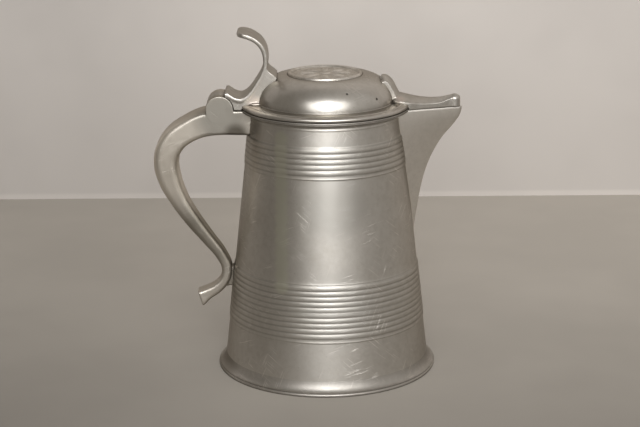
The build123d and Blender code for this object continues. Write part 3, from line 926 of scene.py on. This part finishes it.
def make_foot():
    """Foot: a brim that turns out of the wall in a tight hollow, over a rolled bead."""
    bead_top, bead_bulge, groove = 2.3, 0.8, 0.35
    neck_z = 10.0
    neck = (wall_radius(neck_z) + 0.02, neck_z)
    shoulder = (foot_radius - bead_bulge - 0.2, bead_top + 0.45)
    control = (wall_radius(3.2) + 0.3, 3.3)
    flare = curve_between(shoulder, control, neck, 26)
    a = np.linspace(-np.pi / 2, np.pi / 2, 15)
    bead = np.stack(
        [foot_radius - bead_bulge + bead_bulge * np.cos(a), bead_top / 2 * (1 + np.sin(a))], axis=-1
    )
    inner = wall_radius(3.0) - wall_thickness
    outline = np.concatenate([
        [(inner, 0.5), (inner + 0.5, 0.0)],
        bead,
        [(foot_radius - bead_bulge - groove, bead_top + 0.1)],
        flare,
        [(wall_radius(neck_z) - 0.3, neck_z + 0.02), (wall_radius(3.0) - 0.3, 3.0), (inner, 2.97)],
    ])
    piece = turned("foot_ring_turned", outline)
    return finish_piece(piece, "jug", foot_finish, "foot_ring", 30)


def make_bottom():
    """Bottom: z = rim + crown (1 - (r/R)^2) on both faces, with a turned-down rim."""
    rim, crown, thick = 8.0, 2.5, 2.2
    radius = wall_radius(rim) - wall_thickness - 0.03
    r = np.linspace(0, 1, 30)
    under_r = r * (radius - thick)
    under = np.stack([under_r, rim - thick + crown * (1 - r**2)], axis=-1)
    over = np.stack([radius * r[::-1], rim + crown * (1 - r[::-1] ** 2)], axis=-1)
    rim_points = [
        (radius - thick, plate_bottom + 0.3),
        (radius - thick + 0.4, plate_bottom),
        (radius - 0.3, plate_bottom),
        (radius, plate_bottom + 0.3),
    ]
    piece = turned("bottom_plate_turned", np.concatenate([under, rim_points, over]))
    return finish_piece(piece, "jug", inside_finish, "bottom_plate", 30)


def beak_side(radius):
    """Distance from the middle plane of the beak's side at the mouth, at a given radius."""
    reach, half_width = beak_stations[0][1:]
    taper = 0.93
    root = math.sqrt(mouth_radius**2 - half_width**2)
    x = np.sqrt(np.maximum(radius**2 - half_width**2, 0))
    return half_width * (1 - (x - root) / (reach - root) * taper)


def make_lip():
    """Lip: a grooved edge over a hollow cove, turned round from one side of the beak to the
    other. Its ends are sunk in the beak's sides."""
    bottom = lip_low[2]
    top = mouth_height
    under = 191.6
    cove = curve_between(
        (wall_radius(bottom) + 0.3, bottom), (wall_radius(bottom) + 1.6, under - 0.3),
        (lip_radius - 1.1, under), 12,
    )
    edge = soften(
        [
            (lip_radius - 1.1, under),
            (lip_radius - 0.25, under + 0.1),
            (lip_radius - 0.1, under + 0.62),
            (lip_radius - 0.5, under + 0.85),
            (lip_radius, under + 1.1),
            (lip_radius - 0.05, top - 0.25),
            (lip_radius - 0.7, top),
            (mouth_radius - 0.3, top),
        ],
        0.3, 4, closed=False,
    )
    outline = np.concatenate([[(wall_radius(bottom) - 0.4, bottom)], cove, edge[1:]])
    r, z = outline[:, :1], outline[:, 1:]
    end = np.arcsin((beak_side(np.maximum(r, mouth_radius)) - 0.9) / r)
    share = np.linspace(0, 1, round_steps)
    angle = end + (2 * np.pi - 2 * end) * share
    points = around(r, angle, z)
    grid = numbered(points)
    faces = [quads(grid, wrap_rows=True), grid[:, 0].tolist(), grid[:, -1][::-1].tolist()]
    piece = outward(make_mesh("lip_ring_turned", points, faces))
    return finish_piece(piece, "jug", foot_finish, "lip_ring", 34)


def beak_section(z, reach, half_width, nose_share, fillet):
    """V section at heights z. Its sides run straight from the wall to an apex that is a bend,
    and a fillet of the same form meets the wall."""
    radius = wall_radius(z)
    angle = np.arcsin(np.clip(half_width / radius, -1, 1))
    root = np.stack([radius * np.cos(angle), half_width], axis=-1)
    apex_x = (reach - 0.5 * nose_share * root[:, 0]) / (1 - 0.5 * nose_share)
    apex = np.stack([apex_x, 0 * apex_x], axis=-1)
    side = root - apex
    length = np.linalg.norm(side, axis=1, keepdims=True)
    foot_angle = angle + fillet / radius
    sunk = radius - 0.05
    foot = np.stack([sunk * np.cos(foot_angle), sunk * np.sin(foot_angle)], axis=-1)
    lift = root - side / length * np.minimum(fillet, 0.3 * length[:, 0])[:, None]
    start = apex + side * nose_share[:, None]

    def rows_bend(a, b, c, steps):
        return bend(a[:, None], b[:, None], c[:, None], np.linspace(0, 1, steps)[None, :, None])

    flat = np.linspace(0, 1, 6)[1:-1]
    straight = lift[:, None] + (start - lift)[:, None] * flat[None, :, None]
    mirror = start * [1, -1]
    nose = rows_bend(start, apex, mirror, 11)
    half = np.concatenate([rows_bend(foot, root, lift, 7), straight], axis=1)
    section = np.concatenate([half, nose, half[:, ::-1] * [1, -1]], axis=1)
    height = np.broadcast_to(z[:, None, None], section.shape[:2] + (1,))
    return np.concatenate([section, height], axis=2)


def make_spout():
    """Beak: V sections stacked by height, outside and channel, with a rounded rim between."""
    top = spout_high[2]
    tip_sunk, tip_length, rim_round = 1.5, 3.0, 0.35
    z = np.linspace(spout_low[2] - tip_sunk, top - rim_round, 70)
    z = np.unique(np.r_[z, channel_bottom])
    reach, half_width = beak_at(z)
    tip = np.clip((z - z[0]) / tip_length, 0, 1)
    half_width = half_width * (0.25 + 0.75 * tip)
    reach = np.maximum(reach, wall_radius(z) + 0.1)
    nose_share = np.interp(z, [103, 130, 160, 192.6], [0.5, 0.34, 0.17, 0.12])
    outside = beak_section(z, reach, half_width, nose_share, np.minimum(1.3, half_width))
    first = int(np.searchsorted(z, channel_bottom))
    inner_reach = reach[first:] - beak_setback
    inner_half = half_width[first:] - beak_wall
    inner_nose = nose_share[first:] * 0.5
    inner = beak_section(z[first:], inner_reach, inner_half, inner_nose, 0.05 + 0 * inner_half)
    t = np.linspace(0, 1, 11)[:, None, None]
    rim = (1 - t) * outside[-1] + t * inner[-1]
    rim[..., 2] = top - rim_round * np.abs(2 * t[..., 0] - 1) ** 5
    sheet = np.concatenate([outside, rim[1:-1], inner[::-1]])
    grid = numbered(sheet)
    last = len(grid) - 1
    outer_rows = len(outside)
    faces = [quads(grid), grid[-1].tolist(), grid[0][::-1].tolist()]
    for column, flip in ((0, False), (-1, True)):
        edge = grid[:, column]
        back = last - np.arange(last + 1)
        pairs = np.arange(first, (outer_rows + last) // 2)
        strip = np.stack([edge[pairs], edge[back[pairs - first]]], axis=1)
        faces.append(quads(strip) if flip else quads(strip)[:, ::-1])
    low = grid[: first + 1, [0, -1]]
    faces.append(quads(low[:, ::-1]))
    piece = outward(make_mesh("pouring_beak", sheet, faces))
    return finish_piece(piece, "jug", spout_finish, "spout", 36)


def arc_normal(start, normal, end):
    """Normal at the end of the arc that leaves the start square to a given normal."""
    dx, dz = end[0] - start[0], end[1] - start[1]
    radius = -(dx**2 + dz**2) / (2 * (dx * normal[0] + dz * normal[1]))
    return (dx / radius + normal[0], dz / radius + normal[1]), radius


def dome_line(inset, steps=30):
    """Dome's profile upwards as two arcs that meet in one tangent, inset from the outside:
    centre + (R - inset)(cos a, sin a)."""
    line = []
    start, normal = dome_foot, (1.0, 0.0)
    for end in (dome_shoulder, dome_crown):
        end_normal, radius = arc_normal(start, normal, end)
        centre = np.array(start) - radius * np.array(normal)
        first, last = (math.atan2(n[1], n[0]) for n in (normal, end_normal))
        a = np.linspace(first, last, steps)
        line.append(centre + (radius - inset) * np.stack([np.cos(a), np.sin(a)], axis=-1))
        start, normal = end, end_normal
    return np.concatenate([line[0], line[1][1:]])


def make_lid():
    """Lid: dome, a flange with a scribed line and a rolled edge, and the rim below it."""
    inside = dome_line(lid_wall)[::-1]
    outside = dome_line(0.0)
    scribed = 57.0
    underside = soften(
        [
            inside[-1],
            (inside[-1][0], lid_bottom),
            (rim_inner_radius, lid_bottom),
            (rim_inner_radius, rim_bottom),
            (rim_outer_radius, rim_bottom),
            (rim_outer_radius, lid_bottom),
            (flange_radius - 1.0, lid_bottom),
            (flange_radius - 0.15, lid_bottom + 0.5),
            (flange_radius, lid_bottom + 1.4),
            (flange_radius - 0.5, flange_top - 0.95),
            (scribed + 0.6, flange_top - 0.45),
            (scribed, flange_top - 0.65),
            (scribed - 0.6, flange_top - 0.2),
            (dome_foot[0] + 1.2, flange_top),
            outside[0],
            outside[2],
        ],
        [0.5, 0.3, 0.3, 0.4, 0.4, 0.3, 0.5, 0.6, 0.9, 0.8, 0.25, 0.25, 0.3, 0.8, 0.5, 0.1],
        5, closed=False,
    )
    ceiling, seat = medallion_seat - lid_wall, medallion_seat - 0.1
    outline = np.concatenate([
        [(0, ceiling), (14, ceiling)],
        inside[:-1],
        underside[:-1],
        outside[2:],
        [(dome_crown[0] - 0.4, medallion_seat + 0.45), (26.6, seat), (13, seat), (0, seat)],
    ])
    piece = turned("lid_dome", outline)
    return finish_piece(piece, "lid", lid_finish, "lid_shell", 34)


def rosette(r, a):
    """Relief of the medallion: a moulded ring, a thin line, eight petals (1 - u^2 - v^2)^0.6
    with a sunk rib, pellets between their tips, and a dimpled boss."""
    ring = 1.15 * np.sin(np.pi * np.clip((medallion_high[1] - r) / 3.2, 0, 1)) ** 0.8
    line = 0.35 * np.exp(-(((r - 21.6) / 0.45) ** 2))
    sector = np.pi / 4
    petal_centre, petal_half_length, petal_half_width = 12.3, 6.6, 2.9
    local = (a + sector / 2) % sector - sector / 2
    along = r * np.cos(local) - petal_centre
    across = r * np.sin(local)
    u, v = along / petal_half_length, across / (petal_half_width + 0.12 * along)
    bulge = np.clip(1 - u**2 - v**2, 0, 1)
    petal = 1.05 * bulge**0.6 - 0.25 * np.exp(-((across / 0.5) ** 2)) * (bulge > 0.15)
    pellet_radius = 17.6
    half_turn = (a + sector) % sector - sector / 2
    pellet_reach = (r * np.cos(half_turn) - pellet_radius) ** 2 + (r * np.sin(half_turn)) ** 2
    pellet = 0.5 * np.clip(1 - pellet_reach / 1.7, 0, 1) ** 0.5
    boss = 0.9 * np.clip(1 - (r / 4.2) ** 4, 0, 1) ** 0.5 - 0.5 * np.exp(-((r / 1.3) ** 2))
    return np.maximum.reduce(np.broadcast_arrays(ring, line, petal, pellet, boss, 0 * r))


def make_medallion():
    """Medallion: height seat + field + relief(r, a) on a round grid, over a flat back."""
    radius = medallion_high[1]
    field, edge_drop, edge_width = 1.0, 1.15, 0.8
    r = np.r_[np.linspace(0.35, 21, 62), np.linspace(21.2, radius, 30)][:, None]
    a = np.arange(round_steps)[None, :] * 2 * np.pi / round_steps
    z = medallion_seat + field + rosette(r, a)
    z = z - edge_drop * np.clip((r - radius + edge_width) / edge_width, 0, 1) ** 2
    z = np.minimum(z, medallion_high[2])
    back_z = medallion_seat - 0.05
    sheet = np.concatenate([around(r, a, z), around(radius, a, back_z)])
    centre_z = medallion_seat + field + float(rosette(np.array(0.0), np.array(0.0)))
    piece = outward(capped("rosette_medallion", sheet, centre_z, back_z))
    return finish_piece(piece, "lid", relief_finish, "lid_medallion", 50)


def make_handle():
    """Handle: the strap along its stations with the hinge barrel on its back, slotted for the
    lid's knuckle, then given a cast skin."""
    curve = through(handle_stations, 150)
    path = curve[:, :2]
    # A little is added for what the cast skin melts away
    spare_width, spare_side, proud = 0.08, 0.06, 0.03
    width = curve[:, 3] + spare_width
    piece = strap(
        "cast_handle", path, width, curve[:, 2], curve[:, 4], (-1.0, 0.0), (-0.958, -0.287)
    )
    outward(piece)
    points = vertices(piece)
    joint_from = 150.0
    hidden_end = -(wall_radius(points[:, 2]) - wall_thickness + 0.2)
    hidden_end = np.where(points[:, 2] > joint_from, hidden_end, np.inf)
    points[:, 0] = np.minimum(points[:, 0], hidden_end)
    move_vertices(piece, points)
    side = barrel_half_width + spare_side
    combine(piece, barrel("ears", barrel_radius, -side, side), "UNION")
    slot_half = knuckle_half_width + knuckle_gap
    combine(piece, barrel("slot", barrel_radius + barrel_gap, -slot_half, slot_half), "DIFFERENCE")
    cast(piece, handle_voxel, 3)
    points = vertices(piece)
    flat = barrel_half_width + proud
    points[:, 1] = np.clip(points[:, 1], -flat, flat)
    move_vertices(piece, points)
    return finish_piece(piece, "jug", cast_finish, "handle", 60)


def make_pad():
    """Pad: blocks (x, w(x), h(x)) between handle and wall, wider at both joints."""
    x = np.linspace(pad_low[0] - 0.4, pad_high[0], 14)
    middle = 2 * (x - x[0]) / (x[-1] - x[0]) - 1
    waist, spread, corner, sunk = 0.88, 0.16, 1.4, 0.6
    flare = waist * (1 + spread * middle**4)
    centre = (pad_high[2] + pad_low[2]) / 2
    path = np.stack([x, centre + 0 * x], axis=-1)
    width = (pad_high[1] - pad_low[1]) * flare
    height = (pad_high[2] - pad_low[2]) * flare
    piece = strap("solder_pad", path, width, height, corner + 0 * x)
    points = vertices(piece)
    points[:, 0] = np.minimum(points[:, 0], sunk - wall_radius(points[:, 2]))
    move_vertices(piece, points)
    outward(piece)
    return finish_piece(piece, "jug", cast_finish, "handle_pad", 50)


def lid_skin(name):
    """Solid that ends half way through the lid's wall, to cut castings that sit on it."""
    skin = dome_line(lid_wall / 2, 16)
    deep, outer, inner = 185.0, flange_radius + 0.15, flange_radius - 0.5
    outline = [
        (0, deep), (outer, deep), (outer, lid_bottom + 0.3), (inner, lid_bottom + 0.6),
        (inner, flange_top - 1.4), (flange_radius - 1.4, flange_top - 1.0),
        (skin[0][0], flange_top - 1.0),
    ]
    return turned(name, np.concatenate([outline, skin, [(0, skin[-1][1])]]))


def quarter_round(share):
    """Rise of a quarter of a circle, from nought to one."""
    return np.sqrt(1 - (1 - np.clip(share, 0, 1)) ** 2)


def make_thumbpiece():
    """Thumbpiece: the strap of leaf, stem and hook with its web down to the lid, cut round
    the ears and given the knuckle between them."""
    curve = through(thumb_stations, 260)
    along = np.r_[0, np.cumsum(np.linalg.norm(np.diff(curve[:, :2], axis=0), axis=1))]
    tip_round, end_round, tip_corner, corner_length = 1.9, 1.3, 2.4, 4.0
    rounded = quarter_round(along / tip_round) * quarter_round((along[-1] - along) / end_round)
    depth = curve[:, 2] * np.clip(rounded, 0.12, 1)
    width = curve[:, 3] - tip_corner * (1 - quarter_round(along / corner_length))
    corner = np.minimum(1.1, 0.45 * depth)
    piece = strap("cast_thumbpiece", curve[:, :2], width, depth, corner, (0.87, -0.49), (-1.0, 0.0))
    outward(piece)
    line = [station[:2] for station in thumb_stations[:leaf_and_stem]]
    leaf_bottom = handle_top + 0.3
    behind_pin = hinge_x + 4
    outline = [*line[::-1], (behind_pin, hinge_z + barrel_radius), (behind_pin, leaf_bottom),
               (web_foot_x, leaf_bottom), *web_back[::-1]]
    web = slab("web", outline, web_half_width)
    combine(piece, web, "UNION")
    combine(piece, lid_skin("skin"), "DIFFERENCE")
    for side in (-1, 1):
        near, far = sorted((side * knuckle_half_width, side * (barrel_half_width + 4)))
        combine(piece, barrel("ear_room", barrel_radius + barrel_gap, near, far), "DIFFERENCE")
    knuckle = barrel("knuckle", barrel_radius, -knuckle_half_width, knuckle_half_width)
    combine(piece, knuckle, "UNION")
    add_beads(piece, *web_bead)
    cast(piece, thumb_voxel, 3)
    move_vertices(piece, vertices(piece))
    return finish_piece(piece, "lid", lid_cast_finish, "thumbpiece", 60)


def crowned_tongue(name):
    """Tongue: its middle line P(t) carried across as P - N crown (y/w)^2. Its underside lies
    in the middle of the dome's wall, where x = sqrt(r(t)^2 - y^2)."""
    line = through(tongue_line, 40)
    line = np.concatenate([line, [[line[-1, 0] + 0.3, flange_top - 1.5]]])
    nx, nz = path_normals(line[:, 0], line[:, 1])
    share = np.linspace(-1, 1, 25)[None, :]
    rounded_rows = 6
    from_top = np.arange(len(line))[:, None]
    y = share * tongue_half_width * (1 - 0.5 * np.clip(1 - from_top / rounded_rows, 0, 1) ** 2)
    sink = -tongue_crown * share**2
    outer = np.stack([line[:, :1] + nx * sink, y, line[:, 1:] + nz * sink], axis=-1)
    wall = dome_line(lid_wall / 2, 60)[::-1]
    wall = wall[wall[:, 0] > line[0, 0] - tongue_top_inset]
    wall = np.concatenate([wall, [(wall[-1, 0], flange_top - 1.5)]])
    place = np.linspace(0, len(wall) - 1, len(line))
    r, z = (np.interp(place, np.arange(len(wall)), wall[:, k])[:, None] for k in (0, 1))
    inner = np.stack([np.sqrt(r**2 - y**2), y, z + 0 * y], axis=-1)
    return closed_tube(name, np.concatenate([outer, inner[:, ::-1]], axis=1))


def add_beads(piece, place, radii, steps=24):
    """Add two beads of solder, one on each side: (x, +-y, z) plus
    (a cos u cos v, b cos u sin v, c sin u)."""
    u = np.linspace(-np.pi / 2, np.pi / 2, steps)[1:-1, None]
    v = np.arange(2 * steps)[None, :] * np.pi / steps
    way = [np.cos(u) * np.cos(v), np.cos(u) * np.sin(v), np.sin(u) + 0 * v]
    for side in (-1, 1):
        centre = (place[0], side * place[1], place[2])
        points = np.stack([c + r * w for c, r, w in zip(centre, radii, way)], axis=-1)
        gather(piece, closed_tube("solder", points))


def make_cover():
    """Beak cover: crowned sections z = e + (r - e)(1 - (y/w)^2) along X, a rounded nose, and
    the tongue that runs up the dome."""
    curve = through(cover_stations, 60)
    x, w, edge, ridge = (curve[:, k][:, None] for k in range(4))
    bottom = cover_bottom
    y = np.linspace(1, -1, 21)[None, :] * w
    z = edge + (ridge - edge) * (1 - (y / w) ** 2)
    crown = np.stack([x + 0 * y, y, z], axis=-1)
    left = np.stack([x, -w, bottom + 0 * x], axis=-1)
    right = np.stack([x, w, bottom + 0 * x], axis=-1)
    points = np.concatenate([crown, left, right], axis=1)
    plate = outward(closed_tube("beak_cover_cast", points))
    u = np.linspace(0, np.pi / 2, 16)[:-1]
    nose_r = np.r_[nose_radius, nose_radius * np.cos(u)]
    nose_z = np.r_[bottom - 1, nose_centre[1] + (nose_top - nose_centre[1]) * np.sin(u)]
    nose = turned("nose", [(0, bottom - 1), *zip(nose_r, nose_z), (0, nose_top)])
    nose.data.transform(Matrix.Translation((nose_centre[0] * MM, 0, 0)))
    combine(plate, nose, "UNION")
    combine(plate, lid_skin("skin"), "DIFFERENCE")
    near, far, deep = 20.0, 120.0, 150.0
    block = slab("below", [(near, deep), (far, deep), (far, bottom), (near, bottom)], 60.0)
    combine(plate, block, "DIFFERENCE")
    gather(plate, crowned_tongue("tongue"))
    add_beads(plate, *tongue_bead)
    cast(plate, cover_voxel, 3)
    return finish_piece(plate, "lid", lid_cast_finish, "beak_cover", 60)


def flat_sheet(name, low, high, paint):
    """Flat sheet of the stage between two opposite corners, in metres, with two sides
    along X."""
    points = [low, (high[0], low[1], low[2]), high, (low[0], high[1], high[2])]
    sheet = make_mesh(name, np.array(points) / MM, [[0, 1, 2, 3]])
    sheet.data.materials.append(paint)


def make_stage():
    """Floor and wall: large flat sheets. The wall is seen from the front only."""
    half = 3.0
    wall_y = 0.468
    # Floor painted darker towards the camera: painted shade
    near, far = (0.215, 0.198, 0.177, 1), (0.46, 0.425, 0.38, 1)
    paint = matte("floor paint", near, far, "Y", -0.35, 0.42, 0.3)
    flat_sheet("floor", (-half, -half, 0), (half, wall_y, 0), paint)
    paint = matte("floor paint beyond", far, far, "Y", 0.4, 1.0, 0.3)
    flat_sheet("floor_beyond", (-half, wall_y, 0), (half, half, 0), paint)
    # Wall painted darker towards the bottom: painted shade
    low, high = (0.54, 0.505, 0.473, 1), (0.625, 0.588, 0.556, 1)
    paint = matte("wall paint", low, high, "Z", 0.0, 0.25, 0.3)
    n = Nodes(paint.node_tree)
    shader = paint.node_tree.nodes["Principled BSDF"]
    output = paint.node_tree.nodes["Material Output"]
    clear = n.add("BsdfTransparent")
    facing = n.add("NewGeometry").outputs["Backfacing"]
    mix = n.add("MixShader", {0: facing, 1: shader.outputs[0], 2: clear.outputs[0]})
    n.link(mix.outputs[0], output.inputs["Surface"])
    flat_sheet("wall", (-half, wall_y, 0), (half, wall_y, half), paint)


def area_light(name, power, width, height, azimuth, elevation, distance, colour=(1, 1, 1)):
    """Soft box on a ring round the jug, turned towards it."""
    light = bpy.data.lights.new(name, "AREA")
    light.shape = "RECTANGLE"
    light.size, light.size_y = width, height
    light.energy = power
    light.color = colour
    lamp = bpy.data.objects.new(name, light)
    a, e = math.radians(azimuth), math.radians(elevation)
    away = np.array([math.sin(a) * math.cos(e), -math.cos(a) * math.cos(e), math.sin(e)])
    target = np.array([0.0, 0.0, 0.13])
    x_axis = np.cross([0, 0, 1.0], away)
    x_axis /= np.linalg.norm(x_axis)
    turn = np.eye(4)
    turn[:3] = np.stack([x_axis, np.cross(away, x_axis), away, target + distance * away], axis=-1)
    lamp.matrix_world = Matrix(turn.tolist())
    bpy.context.scene.collection.objects.link(lamp)
    return lamp


def make_lights():
    """A tall soft box over the camera, a broad one behind it, and a dim room that is darker
    on the left."""
    area_light("tall soft box", 6.3, 0.5, 0.95, 3.0, 25.0, 1.5)
    area_light("broad soft box", 12.5, 1.9, 1.0, 4.0, 26.0, 1.6, (1.0, 0.99, 0.97))
    world = bpy.data.worlds.new("room")
    bpy.context.scene.world = world
    world.use_nodes = True
    world.node_tree.nodes.clear()
    n = Nodes(world.node_tree)
    at = n.add("TexCoord").outputs["Generated"]
    sideways = n.along(at, "X")
    share = n.span(sideways, -0.9, 0.9)
    room = n.blend(share, (0.215, 0.196, 0.17, 1), (0.54, 0.51, 0.475, 1))
    background = n.add("Background", {"Color": room, "Strength": 1.0})
    n.add("OutputWorld", {"Surface": background.outputs[0]})


def make_camera():
    """Camera of the photograph: in front and above, turned a little about its own axis."""
    data = bpy.data.cameras.new("camera")
    data.sensor_width = 36.0
    data.lens = 102.26
    data.clip_start, data.clip_end = 0.05, 20.0
    camera = bpy.data.objects.new("camera", data)
    place = Matrix.Translation((-0.00428, -1.2811, 0.4687))
    pitch = Matrix.Rotation(math.radians(90 - 15.52), 4, "X")
    roll = Matrix.Rotation(math.radians(-0.417), 4, "Z")
    camera.matrix_world = place @ pitch @ roll
    bpy.context.scene.collection.objects.link(camera)
    bpy.context.scene.camera = camera


def dress_pin():
    """The pin stays as built, with its own finish."""
    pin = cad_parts["hinge_pin"]
    pin.data.materials.clear()
    pin.data.materials.append(pin_finish)


make_camera()
make_stage()
make_lights()
make_body_wall()
make_foot()
make_bottom()
make_lip()
make_spout()
make_lid()
make_medallion()
make_handle()
make_pad()
make_thumbpiece()
make_cover()
dress_pin()

bpy.context.scene.view_settings.view_transform = "Standard"
